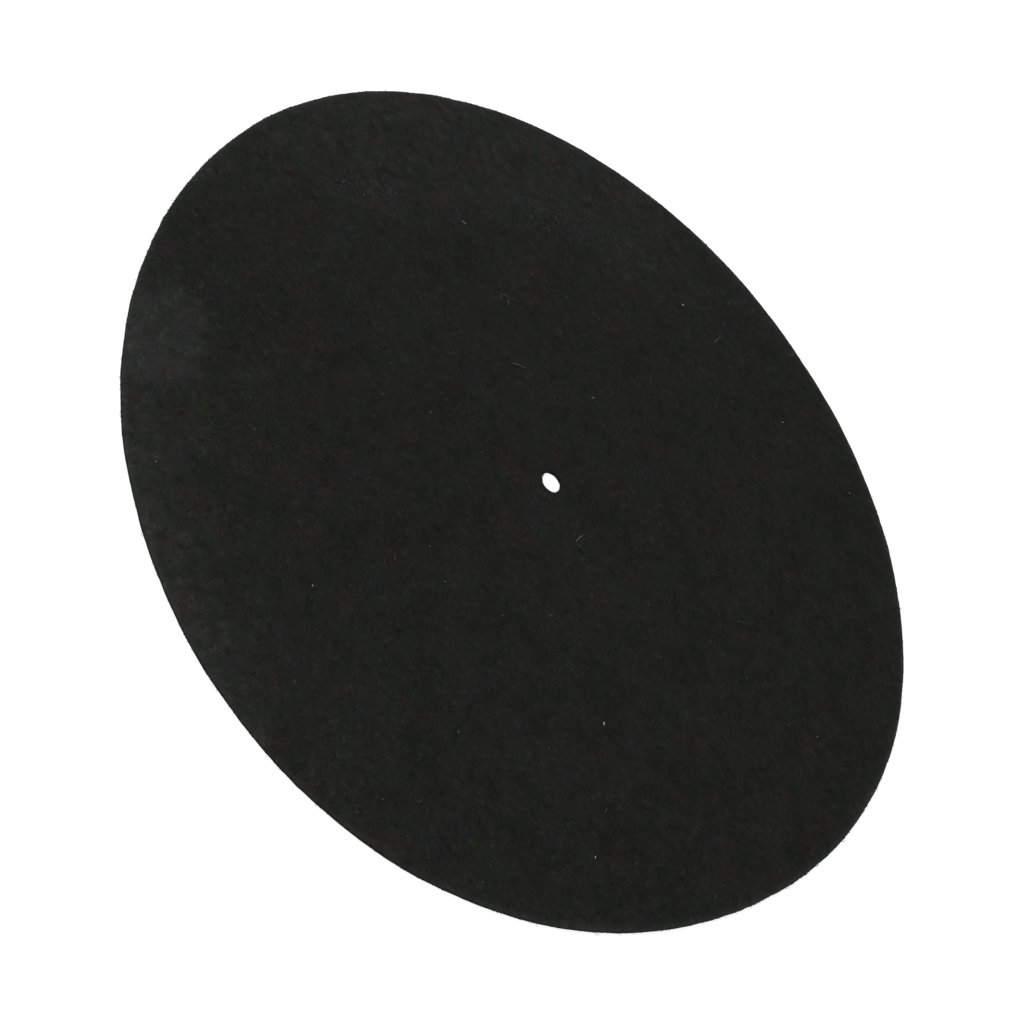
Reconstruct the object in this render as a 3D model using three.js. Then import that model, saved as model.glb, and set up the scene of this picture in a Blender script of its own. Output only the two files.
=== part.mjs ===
// Felt platter mat for a record turntable: one round sheet of pressed felt, cut out at the rim by
// a knife die and punched through the middle for the spindle. The underside lies on the platter
// and the record lies on the top face.
// Millimetres, +Z up, origin at the centre of the underside.

import * as THREE from 'three';

// Driving dimensions
const MAT_DIAMETER = 300; // across the cut rim
const MAT_THICKNESS = 1.5; // the felt sheet, not squeezed
const SPINDLE_DIAMETER = 7.2; // centre pin of the platter
const SPINDLE_CLEARANCE = 0.3; // all round the pin, so that the mat drops on and slips freely

// The cut walls. A knife pushes the top face down before it bites, which leaves a rolled shoulder.
// The squeezed felt springs back behind the knife, so the wall is waisted, and the knife leaves
// a nearly sharp edge at the underside.
const RIM_ROLL_WIDTH = 0.6;
const RIM_ROLL_DROP = 0.4;
const RIM_WAIST = 0.1; // how far the wall draws in at its middle
const HOLE_ROLL_WIDTH = 0.45;
const HOLE_ROLL_DROP = 0.35;
const HOLE_WAIST = 0.08;
const EXIT_ROUND = 0.12; // radius where either cut leaves the felt

// Facets
const STEPS_AROUND = 192;
const STEPS_IN_CURVE = 2;

// A wall that is made thinner keeps room for its shoulder and its exit round.
const LEAST_WALL_SHARE = 0.2;
const mostDrop = (1 - LEAST_WALL_SHARE) * MAT_THICKNESS - EXIT_ROUND;

const feltMaterial = new THREE.MeshStandardMaterial({
  name: 'black_felt',
  color: new THREE.Color().setRGB(0.125, 0.126, 0.118, THREE.SRGBColorSpace),
  roughness: 0.97,
  metalness: 0,
});

// The outer wall, drawn from the end of the top face down to the start of the underside.
function drawRimWall(section, radius) {
  const drop = Math.min(RIM_ROLL_DROP, mostDrop);
  const shoulderFoot = MAT_THICKNESS - drop;
  const waistHeight = (shoulderFoot + EXIT_ROUND) / 2;
  section.lineTo(radius - RIM_ROLL_WIDTH, MAT_THICKNESS);
  section.absellipse(radius - RIM_ROLL_WIDTH, shoulderFoot, RIM_ROLL_WIDTH, drop, Math.PI / 2, 0, true);
  section.quadraticCurveTo(radius - 2 * RIM_WAIST, waistHeight, radius, EXIT_ROUND);
  section.absarc(radius - EXIT_ROUND, EXIT_ROUND, EXIT_ROUND, 0, -Math.PI / 2, true);
}

// The wall of the spindle hole, drawn from the end of the underside up to the top face.
function drawHoleWall(section, radius) {
  const drop = Math.min(HOLE_ROLL_DROP, mostDrop);
  const shoulderFoot = MAT_THICKNESS - drop;
  const waistHeight = (shoulderFoot + EXIT_ROUND) / 2;
  section.lineTo(radius + EXIT_ROUND, 0);
  section.absarc(radius + EXIT_ROUND, EXIT_ROUND, EXIT_ROUND, -Math.PI / 2, -Math.PI, true);
  section.quadraticCurveTo(radius + 2 * HOLE_WAIST, waistHeight, radius, shoulderFoot);
  section.absellipse(radius + HOLE_ROLL_WIDTH, shoulderFoot, HOLE_ROLL_WIDTH, drop, Math.PI, Math.PI / 2, true);
}

// Half of the mat's section, revolved about the spindle axis.
function makeFeltMat() {
  const rimRadius = MAT_DIAMETER / 2;
  const holeRadius = SPINDLE_DIAMETER / 2 + SPINDLE_CLEARANCE;
  const section = new THREE.Path();
  section.moveTo(holeRadius + HOLE_ROLL_WIDTH, MAT_THICKNESS);
  drawRimWall(section, rimRadius);
  drawHoleWall(section, holeRadius);
  const outline = section.getPoints(STEPS_IN_CURVE);
  outline[outline.length - 1].copy(outline[0]);
  outline.reverse(); // anticlockwise, so that the revolved faces point out
  const geometry = new THREE.LatheGeometry(outline, STEPS_AROUND);
  geometry.rotateX(Math.PI / 2);
  const mat = new THREE.Mesh(geometry, feltMaterial);
  mat.name = 'felt_mat';
  return mat;
}

const platterMat = new THREE.Group();
platterMat.name = 'turntable_platter_mat';
platterMat.add(makeFeltMat());

export default platterMat;
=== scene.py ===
"""Felt platter mat for a record turntable.

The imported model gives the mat's true size. This script lays a sheet of pressed felt over it, adds
the nap, the fuzz of its cut edges and the lint that lies on it, and sets it on a pale stage.
Metres, +Z up, with the origin at the centre of the underside.
"""

import math

import bpy
import numpy as np
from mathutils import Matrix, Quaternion, Vector


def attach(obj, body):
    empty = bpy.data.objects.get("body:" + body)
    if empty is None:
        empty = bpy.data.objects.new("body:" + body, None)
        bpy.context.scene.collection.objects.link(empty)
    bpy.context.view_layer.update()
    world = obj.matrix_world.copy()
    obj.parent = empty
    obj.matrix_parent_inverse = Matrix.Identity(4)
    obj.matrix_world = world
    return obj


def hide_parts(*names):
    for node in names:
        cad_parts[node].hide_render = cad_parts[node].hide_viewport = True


bl_info = {
    "name": "Felt Platter Mat",
    "version": (1, 0, 0),
    "blender": (4, 5, 0),
    "location": "3D View > Sidebar > Platter Mat",
    "description": "Dresses a turntable platter mat in pressed felt and sets it on a stage",
    "category": "Add Mesh",
}

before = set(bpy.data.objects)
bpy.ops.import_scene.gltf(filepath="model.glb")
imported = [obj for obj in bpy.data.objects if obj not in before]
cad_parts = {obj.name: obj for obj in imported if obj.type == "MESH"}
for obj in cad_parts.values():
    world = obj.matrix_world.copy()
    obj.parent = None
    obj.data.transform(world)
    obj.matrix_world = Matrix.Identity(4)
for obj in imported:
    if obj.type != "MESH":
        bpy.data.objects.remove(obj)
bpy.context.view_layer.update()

MM = 0.001
CAD_NODE = "felt_mat"
BODY = "root"


def vertex_places(mesh):
    """The vertices of a mesh as an array with one row for each."""
    places = np.empty(len(mesh.vertices) * 3, np.float32)
    mesh.vertices.foreach_get("co", places)
    return places.reshape(-1, 3)


# The solid's own sizes
solid_places = vertex_places(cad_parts[CAD_NODE].data)
RIM_RADIUS = float(np.hypot(solid_places[:, 0], solid_places[:, 1]).max())
HOLE_RADIUS = float(np.hypot(solid_places[:, 0], solid_places[:, 1]).min())
THICKNESS = float(solid_places[:, 2].max())

# How the felt lies in the solid
NAP_DEPTH = 0.05 * MM  # from the top of the solid down to the matted face
UNDER_GAP = 0.07 * MM  # the underside stands on its nap by this much
LOBE_NUMBERS = (3, 4, 5)
EDGE_REACH = 2 * MM  # how far in from a cut its waver is felt

# Steps of the felt sheet's grid
STEPS_AROUND = 540
FACE_STEPS = 90
UNDER_STEPS = 36
CORNER_STEPS = 6
WALL_STEPS = 6
END_CROWDING = 0.5  # share by which steps shorten at the ends of a run

# Random waves
WAVES = 24
WAVE_LENGTHS = (0.7, 1.4)  # least and most, as shares of the usual one
RIM_WAVES = (7, 200)
HOLE_WAVES = (3, 14)

# Dimples
FINE_DIMPLES = 2.4  # fine dimples to a broad one
BROAD_SHARE = 0.6  # of the dimples' height

# Wear, and painted sheen
PATCH_WAVER = 0.06  # of the rubbed patch's edge, as a share of half the patch
PATCH_WAVER_SIZE = 9 * MM
PATCH_SHARPNESS = 14  # steepness of the curve by which that edge fades
STREAK_SIZE = 6 * MM  # of the streaks in an arc of painted sheen
STREAK_DEPTH = 0.3
LEAST_STREAK = 0.2  # share of its painted sheen that an arc keeps everywhere

# Fibres. A scatter is the normal spread of the natural logarithm of a size or a tone.
FIBRE_POINTS = 5
CORNER_TURNS = (90, 210, 330)  # degrees round a fibre
FLATNESS = 0.6  # height of a fibre as a share of its width
WIDTH_SCATTER = 0.3
LENGTH_SCATTER = 0.35
RISE_SCATTER = 0.6
CURL_TURN = 1.2  # normal spread of a stray fibre's turn from end to end, in radians
SINK = 0.3  # how deep a fibre of the nap is sunk in the felt, as a share of its width
BAKE_MAP = "OFBake"  # name of the map on which each fibre has a cell of its own
CELL_MARGIN = 0.1  # round a fibre's cell on that map, as a share of the cell

# Wisps of the nap
STRANDS_IN_WISP = 4
CUT_MARGIN = 1.2 * MM  # from a cut to the nearest middle of a wisp
SWIRL = math.radians(14)  # how far the nap's heading swirls over the face
SWIRL_SIZE = 60 * MM
ASKEW = math.radians(9)  # how far a strand is turned from its wisp
BOW = 0.32  # how far a wisp bows, as a share of its length
AHEAD = 0.25  # how far a strand lies ahead of its wisp, as a share of the usual length
WISP_PALENESS = 0.06  # middle of the natural logarithm of a wisp's paleness
TONE_SCATTER = 0.1

# Fibres raised in a scuff
SCUFF_SPREAD = 0.6  # as a share of the scuff's reach
SCUFF_TURN = 0.8  # radians by which they stray from the nap's heading
SCUFF_RISE = 0.3  # natural logarithm of how much higher than the nap they rise
SCUFF_SCATTER = 0.4
SCUFF_WIDTH = 1.9  # as a share of the nap's

# Fibres pressed on the underside
UNDER_SAG = (0.2, 1)  # least and most, as shares of the room below them

# Fuzz of the cut edges
FUZZ_LENGTH = 0.5  # as a share of the nap's
FUZZ_WIDTH = 0.7  # as a share of the nap's
FUZZ_LENGTH_SCATTER = 0.4
MOST_FUZZ_LENGTH = 0.35  # as a share of the cut's radius
FUZZ_CLIMB = math.radians(18)  # normal spread of how steeply a fibre climbs the wall
FUZZ_MIDDLES = (0.12, 0.94)  # lowest and highest, as shares of the felt's thickness
FUZZ_HEIGHTS = (0.08 * THICKNESS, 0.97 * THICKNESS)  # that no fibre goes past
FUZZ_REACH_SCATTER = 0.7
FREE_SHARE = 0.12  # of the fibres stand free at one end
FUZZ_SINK = 0.04 * MM  # how deep its ends are sunk in the wall

# Lint
HAIR_POINTS = 9
HAIR_WIDTH = 0.15 * MM
HAIR_LIE = 0.09 * MM  # from the matted face up to the middle of a hair
HAIR_ENDS = 0.10 * MM  # how much higher its ends are
SPECK_WIDTH = 0.45  # as a share of the speck's length
SPECK_PALENESS = 1.6
STREWN_SPECKS = 150
STREWN_INNER = 6 * MM  # least distance from the axis
STREWN_MARGIN = 4 * MM  # least distance from the rim
STREWN_LENGTHS = (0.3 * MM, 0.9 * MM)
STREWN_WIDTHS = (0.1 * MM, 0.24 * MM)
STREWN_PALENESS = -1.1  # middle of its natural logarithm
STREWN_SCATTER = 0.6
LINT_DRIFT = 0.2  # of its tint

# Patterns of the felt, with sizes in mm
NOISE_MIDDLE = 0.5
CLOUD_SIZE = 30.0
CLOUD_HALVINGS = 4.0
TINT_SIZE = 9.0
TINT_HALVINGS = 3.0
CRIMP_SIZE = 2.6  # of the noise that bends the strands and the curls
CRIMP_REACH = 1.6
BUMP_STRENGTH = 0.3
BUMP_DEPTH = 0.12 * MM

# Strands that lie with the nap and across it: turn from the nap's heading in degrees, then their
# length and width in mm
STRANDS_WITH = (0.0, 1.9, 0.13)
STRANDS_ACROSS = (62.0, 1.6, 0.12)
STRAND_HALVINGS = 1.0
STRAND_ROUGHNESS = 0.55
STRAND_RANGE = (0.3, 0.7)  # of its noise, over which a strand goes from dark to pale
LAY_SIZE = 1.6  # of the patches in which the strands lie with the nap or across it
LAY_HALVINGS = 2.0
LAY_RANGE = (0.35, 0.65)

# Sets of pale curls, painted highlight on raised loops of fibre, and of dark furrows, painted
# shadow beside them in the matting: turn from the nap's heading in degrees, then their length
# and spacing in mm
CURL_HIGHLIGHT_SETS = [(-6.0, 3.2, 1.4), (-50.0, 2.6, 1.4), (36.0, 2.4, 1.4)]
FURROW_SHADOW_SETS = [(-24.0, 3.2, 1.4), (18.0, 2.6, 1.4)]
CURL_WIDTH = 0.11  # as a share of the noise that the curls are drawn from
CURL_FADE_SIZE = 2.6
CURL_FADE = (0.62, 0.74)  # from where to where of its noise a set fades in
SET_OFFSET = (13.0, 29.0)  # where a set is read from, in mm for each degree of its turn

# Where the drifts of the tint are read from, in mm from the place itself
SHARED_DRIFT = (90.0, 40.0, 0.0)
RED_DRIFT = (310.0, 170.0, 0.0)
BLUE_DRIFT = (-150.0, 260.0, 0.0)
DRIFT_SHARED = 0.5  # part of each drift that red and blue share

# What all of the felt has alike: it is dead matt, with a faint sheen
FELT_FINISH = {
    "Roughness": 0.96,
    "Specular IOR Level": 0.035,
    "Sheen Weight": 0.012,
    "Sheen Roughness": 0.55,
    "Sheen Tint": (0.9, 0.95, 1.0, 1.0),
}
FLOOR_GLOW_SHARE = 0.5  # of what the camera sees of the floor

# Seeds, one for each thing drawn at random
SEED_DIMPLE = 3
SEED_FINE_DIMPLE = 4
SEED_PATCH = 3
SEED_RIM = 5
SEED_HOLE = 6
SEED_SWIRL = 7
SEED_STREAKS = 8
SEED_NAP = 20
SEED_SCUFFS = 30
SEED_UNDER = 40
SEED_RIM_FUZZ = 50
SEED_HOLE_FUZZ = 51
SEED_LINT = 60

# Hairs that lie on the record face: place in mm, heading in degrees, length in mm, how far the
# hair curls from end to end in degrees, and how pale it is beside a usual hair
HAIRS = {
    "long hair behind the hole": (-37.2, 21.9, 41, 5.6, -45, 0.8),
    "hook beside the hole, shank": (19.7, -6.5, -89, 4.7, 29, 1.0),
    "hook beside the hole, point": (21.3, -8.8, 13, 1.9, 18, 0.6),
    "hook beside the hole, barb": (17.6, -7.2, 29, 1.4, 0, 0.5),
    "curl on the left": (-59.2, 37.3, 77, 5.3, -163, 0.6),
    "curl on the left, end": (-57.0, 40.1, 62, 3.2, 9, 0.35),
    "curl on the left, tail": (-56.5, 37.3, -45, 2.7, 0, 0.6),
    "far rim, left": (18.0, 142.1, 89, 2.0, 20, 0.7),
    "far rim, right": (18.8, 143.6, 113, 1.7, 46, 0.9),
    "far side": (-3.1, 113.4, -84, 5.2, 5, 0.8),
    "right": (76.2, 28.8, 36, 4.7, -94, 0.4),
    "near side, right": (87.0, -69.8, -69, 1.8, 0, 0.6),
    "far side, left": (-87.7, 45.1, 10, 1.9, 0, 1.6),
}
# Where the nap is roughened: place on the record face in mm and reach in mm
SCUFFS = {
    "far side, left": (-82.0, 77.0, 5.0),
    "far side, middle": (-72.0, 84.0, 7.0),
    "far side, right": (-64.0, 92.0, 4.0),
    "left side, outer": (-120.5, 10.5, 5.0),
    "left side, inner": (-110.0, 22.0, 6.0),
}
# Painted sheen: arcs along the rim, on the side that the light comes from, where the felt is
# paler: heading and spread in degrees, the radius from which the sheen rises and the softness of
# that border in mm, and how much paler the felt is there
SHEEN_ARCS = {
    "near side": (247.0, 24.0, 138.0, 6.0, 0.46),
    "near side, faint": (262.0, 40.0, 118.0, 9.0, 0.10),
    "far side, left": (141.0, 43.0, 105.0, 5.0, 0.27),
}
# Pale specks on the record face: place and length in mm
SPECKS = {
    "far side": (-20.8, 110.8, 1.1),
    "near side, right": (68.0, -48.5, 1.2),
    "near side, far right": (94.3, -84.4, 0.8),
    "behind the hole": (-13.6, 40.8, 0.7),
    "far side, right": (35.3, 113.7, 0.8),
    "far side, near the rim": (71.1, 118.6, 0.5),
    "in front of the hole": (3.4, -63.4, 0.5),
    "near side": (-19.4, -104.0, 0.6),
    "right": (121.2, 23.4, 0.5),
}


class PlatterMatCut(bpy.types.PropertyGroup):
    """How the felt was cut and how flat it lies."""

    rim_roll_width: bpy.props.FloatProperty(
        name="Rim shoulder width", description="How far in the knife rolled the rim's shoulder",
        default=0.6 * MM, unit="LENGTH")
    rim_roll_drop: bpy.props.FloatProperty(
        name="Rim shoulder drop", description="How far down the rim's shoulder reaches",
        default=0.4 * MM, unit="LENGTH")
    rim_waist: bpy.props.FloatProperty(
        name="Rim waist", description="How far the rim's wall draws in at its middle",
        default=0.1 * MM, unit="LENGTH")
    hole_roll_width: bpy.props.FloatProperty(
        name="Hole shoulder width", description="How far out the punch rolled the hole's shoulder",
        default=0.45 * MM, unit="LENGTH")
    hole_roll_drop: bpy.props.FloatProperty(
        name="Hole shoulder drop", description="How far down the hole's shoulder reaches",
        default=0.35 * MM, unit="LENGTH")
    hole_waist: bpy.props.FloatProperty(
        name="Hole waist", description="How far the hole's wall draws back at its middle",
        default=0.08 * MM, unit="LENGTH")
    exit_round: bpy.props.FloatProperty(
        name="Exit round", description="Radius where either cut leaves the felt",
        default=0.12 * MM, unit="LENGTH")
    lobe_heights: bpy.props.FloatVectorProperty(
        name="Out of round", description="How far the rim swells in three, four and five lobes",
        default=(1.815 * MM, 0.291 * MM, 0.227 * MM), unit="LENGTH")
    lobe_headings: bpy.props.FloatVectorProperty(
        name="Lobe headings", description="Direction of the first lobe of each set from +X",
        default=(math.radians(32.2), math.radians(23.6), math.radians(18.9)), unit="ROTATION")
    rim_waver: bpy.props.FloatProperty(
        name="Rim waver", description="Small unevenness of the cut rim",
        default=0.10 * MM, unit="LENGTH")
    hole_waver: bpy.props.FloatProperty(
        name="Hole waver", description="Small unevenness of the punched hole",
        default=0.04 * MM, unit="LENGTH")
    hole_closing: bpy.props.FloatProperty(
        name="Hole closing", description="How far the felt sprang back into the punched hole",
        default=0.18 * MM, unit="LENGTH")
    dimple_depth: bpy.props.FloatProperty(
        name="Dimple depth", description="Height of the soft dimples in the face",
        default=0.04 * MM, unit="LENGTH")
    dimple_size: bpy.props.FloatProperty(
        name="Dimple size", description="Distance from one dimple to the next",
        default=13 * MM, unit="LENGTH")


class PlatterMatNap(bpy.types.PropertyGroup):
    """The fibres that lie matted on the felt."""

    heading: bpy.props.FloatProperty(
        name="Nap heading", description="Direction in which the rollers laid the nap, from +X",
        default=math.radians(-48), subtype="ANGLE")
    spread: bpy.props.FloatProperty(
        name="Nap spread", description="How far the fibres stray from the nap's heading",
        default=math.radians(46), subtype="ANGLE")
    layers: bpy.props.IntProperty(
        name="Layers", description="Pieces that the nap of the record face is made in",
        default=3, min=1)
    fibres_in_layer: bpy.props.IntProperty(
        name="Fibres in a layer", description="Fibres in each layer of the record face's nap",
        default=10500, min=3)
    fibre_length: bpy.props.FloatProperty(
        name="Fibre length", description="Usual length of a fibre of the nap",
        default=2.0 * MM, unit="LENGTH")
    fibre_width: bpy.props.FloatProperty(
        name="Fibre width", description="Usual width of a fibre or of a few that cling together",
        default=0.14 * MM, unit="LENGTH")
    rise: bpy.props.FloatProperty(
        name="Rise", description="How high a fibre arches off the matted face",
        default=0.03 * MM, unit="LENGTH")
    wisp_width: bpy.props.FloatProperty(
        name="Wisp width", description="How far the strands of one wisp lie apart",
        default=0.12 * MM, unit="LENGTH")
    scuff_fibres: bpy.props.IntProperty(
        name="Scuff fibres", description="Fibres raised in all the scuffs together",
        default=1000, min=3)
    scuff_length: bpy.props.FloatProperty(
        name="Scuff length", description="Usual length of a fibre raised by a scuff",
        default=2.1 * MM, unit="LENGTH")
    paleness_spread: bpy.props.FloatProperty(
        name="Paleness spread", description="How far the paleness of the wisps is scattered",
        default=0.25, min=0)
    scuff_paleness: bpy.props.FloatProperty(
        name="Scuff paleness", description="How pale the raised fibres of a scuff are, usually",
        default=1.7, min=0)
    under_fibres: bpy.props.IntProperty(
        name="Underside fibres", description="Fibres pressed flat on the underside",
        default=3300, min=3)
    rim_fibres: bpy.props.IntProperty(
        name="Rim fibres", description="Fibres that the knife left along the rim",
        default=3600, min=3)
    hole_fibres: bpy.props.IntProperty(
        name="Hole fibres", description="Fibres that the punch left in the hole",
        default=180, min=3)
    edge_reach: bpy.props.FloatProperty(
        name="Edge reach", description="How far the fuzz stands off a cut wall",
        default=0.12 * MM, unit="LENGTH")


class PlatterMatColours(bpy.types.PropertyGroup):
    """Colours in linear light, and how they vary."""

    felt: bpy.props.FloatVectorProperty(
        name="Felt", description="Colour of the matted felt",
        default=(0.0129, 0.0134, 0.0115), subtype="COLOR", min=0, max=1)
    fibre: bpy.props.FloatVectorProperty(
        name="Fibre", description="Colour of a usual fibre",
        default=(0.0140, 0.0146, 0.0127), subtype="COLOR", min=0, max=1)
    lint: bpy.props.FloatVectorProperty(
        name="Lint", description="Colour of the stray hairs and specks",
        default=(0.27, 0.27, 0.255), subtype="COLOR", min=0, max=1)
    cloud_gain: bpy.props.FloatProperty(
        name="Clouds", description="How strongly the felt is clouded, in patches large and small",
        default=1.08, min=0)
    strand_gain: bpy.props.FloatProperty(
        name="Strands", description="How strongly the fine matted strands show",
        default=0.55, min=0)
    # Curls are painted highlight on raised loops of fibre, and furrows painted shadow beside them.
    curl_highlight_gain: bpy.props.FloatProperty(
        name="Curls", description="How much paler the curls in the matting are",
        default=0.46, min=0)
    furrow_shadow_gain: bpy.props.FloatProperty(
        name="Furrows", description="How much darker the furrows in the matting are",
        default=0.36, min=0, max=1)
    patch_gain: bpy.props.FloatProperty(
        name="Rubbed patch", description="How much paler the rubbed patch near the rim is",
        default=0.62, min=0)
    patch_place: bpy.props.FloatVectorProperty(
        name="Patch place", description="Middle of the rubbed patch", size=2,
        default=(-104.5 * MM, -89 * MM), unit="LENGTH")
    patch_size: bpy.props.FloatVectorProperty(
        name="Patch size", description="Length and width of the rubbed patch", size=2,
        default=(32 * MM, 27 * MM), unit="LENGTH")
    patch_headings: bpy.props.FloatVectorProperty(
        name="Patch headings", description="Directions of the long and the short sides", size=2,
        default=(math.radians(-41), math.radians(68)), unit="ROTATION")
    scuff_gain: bpy.props.FloatProperty(
        name="Scuffs", description="How much paler the felt is in a scuff",
        default=0.18, min=0)
    # Worn felt and the painted sheen of the arcs along the rim both turn bluer by this share.
    wear_and_sheen_blue: bpy.props.FloatProperty(
        name="Worn blue", description="How much bluer worn felt is, as a share of its paleness",
        default=0.14, min=0)
    # The next six settings paint glare along the cut rim, paler at the rim and fading inwards.
    rim_glare_gain: bpy.props.FloatProperty(
        name="Frayed rim", description="How much paler the frayed felt is at the cut rim",
        default=0.70, min=0)
    rim_glare_reach: bpy.props.FloatProperty(
        name="Frayed reach", description="How far in from the rim the felt is frayed",
        default=1.3 * MM, unit="LENGTH")
    glare_halo_gain: bpy.props.FloatProperty(
        name="Loosened felt", description="How much paler the loosened felt is beside the rim",
        default=0.39, min=0)
    glare_halo_reach: bpy.props.FloatProperty(
        name="Loosened reach", description="How far in from the rim the loosened felt fades",
        default=3.2 * MM, unit="LENGTH")
    rim_glare_swing: bpy.props.FloatProperty(
        name="Frayed swing", description="Share by which the rim is more frayed on one side",
        default=0.50, min=0, max=1)
    rim_glare_heading: bpy.props.FloatProperty(
        name="Frayed heading", description="Direction of the most frayed side from +X",
        default=math.radians(62), subtype="ANGLE")
    tint_drift: bpy.props.FloatProperty(
        name="Tint drift", description="How far red and blue drift apart over the felt",
        default=1.22, min=0)


class PlatterMatStage(bpy.types.PropertyGroup):
    """Camera, light and floor."""

    lens: bpy.props.FloatProperty(
        name="Lens", description="Focal length in millimetres", default=68.79, min=1)
    distance: bpy.props.FloatProperty(
        name="Distance", description="From the camera to the middle of the record face",
        default=634.2 * MM, unit="LENGTH")
    elevation: bpy.props.FloatProperty(
        name="Elevation", description="Height of the camera above the horizon",
        default=math.radians(44.10), subtype="ANGLE")
    roll: bpy.props.FloatProperty(
        name="Roll", description="How far the camera is turned about its own line of sight",
        default=math.radians(51.5), subtype="ANGLE")
    aim: bpy.props.FloatVectorProperty(
        name="Aim", description="Place on the record face that the camera looks at", size=2,
        default=(-0.4 * MM, -22.9 * MM), unit="LENGTH")
    sky: bpy.props.FloatProperty(
        name="Sky", description="Strength of the even light from all round", default=0.84, min=0)
    softbox_power: bpy.props.FloatProperty(
        name="Softbox", description="Power of the softbox in watts", default=3.2, min=0)
    softbox_size: bpy.props.FloatProperty(
        name="Softbox size", description="Width of the softbox",
        default=500 * MM, unit="LENGTH")
    softbox_place: bpy.props.FloatVectorProperty(
        name="Softbox place", description="Middle of the softbox", size=3,
        default=(-0.62, -0.30, 0.60), unit="LENGTH")
    floor_size: bpy.props.FloatProperty(
        name="Floor size", description="Width of the floor", default=12.0, unit="LENGTH")
    floor_colour: bpy.props.FloatVectorProperty(
        name="Floor colour", description="Colour of the floor",
        default=(0.86, 0.86, 0.85), subtype="COLOR", min=0, max=1)
    floor_glow: bpy.props.FloatProperty(
        name="Floor glow", description="How white the camera sees the floor, apart from its light",
        default=1.50, min=0)


def smooth_waves(x, y, wavelength, seed):
    """Soft random ups and downs over the face, about 1 high.

    The sum of plane waves in random headings and phases, with lengths scattered round wavelength.
    """
    random = np.random.default_rng(seed)
    heading = random.uniform(0, 2 * math.pi, WAVES)
    number = 2 * math.pi / (wavelength * random.uniform(*WAVE_LENGTHS, WAVES))
    phase = random.uniform(0, 2 * math.pi, WAVES)
    along = np.multiply.outer(x, np.cos(heading)) + np.multiply.outer(y, np.sin(heading))
    return np.cos(along * number + phase).sum(-1) * math.sqrt(2 / WAVES)


def ring_waves(angle, span, seed):
    """Random waver round a circle, about 1 high.

    The sum of whole-number waves, from the first to the last of span, so that the ring closes.
    The height of a wave falls with its number.
    """
    random = np.random.default_rng(seed)
    number = np.arange(span[0], span[1] + 1)
    height = 1 / number
    phase = random.uniform(0, 2 * math.pi, len(number))
    waves = np.cos(np.multiply.outer(angle, number) + phase)
    return waves @ height / math.sqrt((height**2).sum() / 2)


def eased_steps(count):
    """Shares from 0 to 1 that crowd together at both ends: t - c sin(2 pi t) / (2 pi)."""
    even = np.linspace(0, 1, count + 1)
    return even - END_CROWDING * np.sin(2 * math.pi * even) / (2 * math.pi)


def lobe_swell(angle, cut):
    """How far the rim swells at an angle: a sum of cosines of whole multiples of the angle."""
    swell = np.zeros_like(angle)
    for number, height, heading in zip(LOBE_NUMBERS, cut.lobe_heights, cut.lobe_headings):
        swell += height * np.cos(number * (angle - heading))
    return swell


def outline_places(x, y, cut):
    """Carries places on a true disc to the outline that the felt has.

    The radius grows by the swell of the lobes times the cube of the share of the rim's radius,
    and by the waver of each cut, which fades away from that cut. The hole closes a little.
    """
    radius = np.hypot(x, y)
    angle = np.arctan2(y, x)
    near_rim = np.exp(-(((RIM_RADIUS - radius) / EDGE_REACH) ** 2))
    near_hole = np.exp(-(((radius - HOLE_RADIUS) / EDGE_REACH) ** 2))
    rim_waver = cut.rim_waver * ring_waves(angle, RIM_WAVES, SEED_RIM)
    hole_waver = cut.hole_waver * ring_waves(angle, HOLE_WAVES, SEED_HOLE)
    grown = radius + lobe_swell(angle, cut) * (radius / RIM_RADIUS) ** 3
    grown = grown + near_rim * rim_waver + near_hole * (hole_waver - cut.hole_closing)
    return grown * np.cos(angle), grown * np.sin(angle)


def face_height(x, y, cut):
    """Height of the matted record face: level, but for two sizes of soft dimple."""
    broad = smooth_waves(x, y, cut.dimple_size, SEED_DIMPLE)
    fine = smooth_waves(x, y, cut.dimple_size / FINE_DIMPLES, SEED_FINE_DIMPLE)
    dimples = BROAD_SHARE * broad + (1 - BROAD_SHARE) * fine
    return THICKNESS - NAP_DEPTH + cut.dimple_depth * dimples


def rim_glare_paleness(x, y, cut, colours):
    """Painted glare along the cut rim: the felt is paler at the rim and a little further in.

    The glare at the rim falls off as a bell, its halo further in as a plain decay. Both are
    stronger towards the glare's heading.
    """
    angle = np.arctan2(y, x)
    inwards = (RIM_RADIUS + lobe_swell(angle, cut) - np.hypot(x, y)).clip(0)
    glared = colours.rim_glare_gain * np.exp(-((inwards / colours.rim_glare_reach) ** 2))
    haloed = colours.glare_halo_gain * np.exp(-inwards / colours.glare_halo_reach)
    swing = 1 + colours.rim_glare_swing * np.cos(angle - colours.rim_glare_heading)
    return (glared + haloed) * swing


def patch_share(x, y, colours):
    """How far a place lies in the rubbed patch, from 0 to 1.

    The patch is a four-sided shape with soft corners: the fourth powers of the places along its
    two directions are added, each place as a share of half the patch. Its edge wavers.
    """
    right = x - colours.patch_place[0]
    ahead = y - colours.patch_place[1]
    long_side, short_side = colours.patch_headings
    skew = math.sin(short_side - long_side)
    along = (right * math.sin(short_side) - ahead * math.cos(short_side)) / skew
    across = (ahead * math.cos(long_side) - right * math.sin(long_side)) / skew
    length, width = colours.patch_size
    reach = ((2 * along / length) ** 4 + (2 * across / width) ** 4) ** 0.25
    reach = reach + PATCH_WAVER * smooth_waves(x, y, PATCH_WAVER_SIZE, SEED_PATCH)
    return 1 / (1 + np.exp((reach - 1) * PATCH_SHARPNESS))


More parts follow.
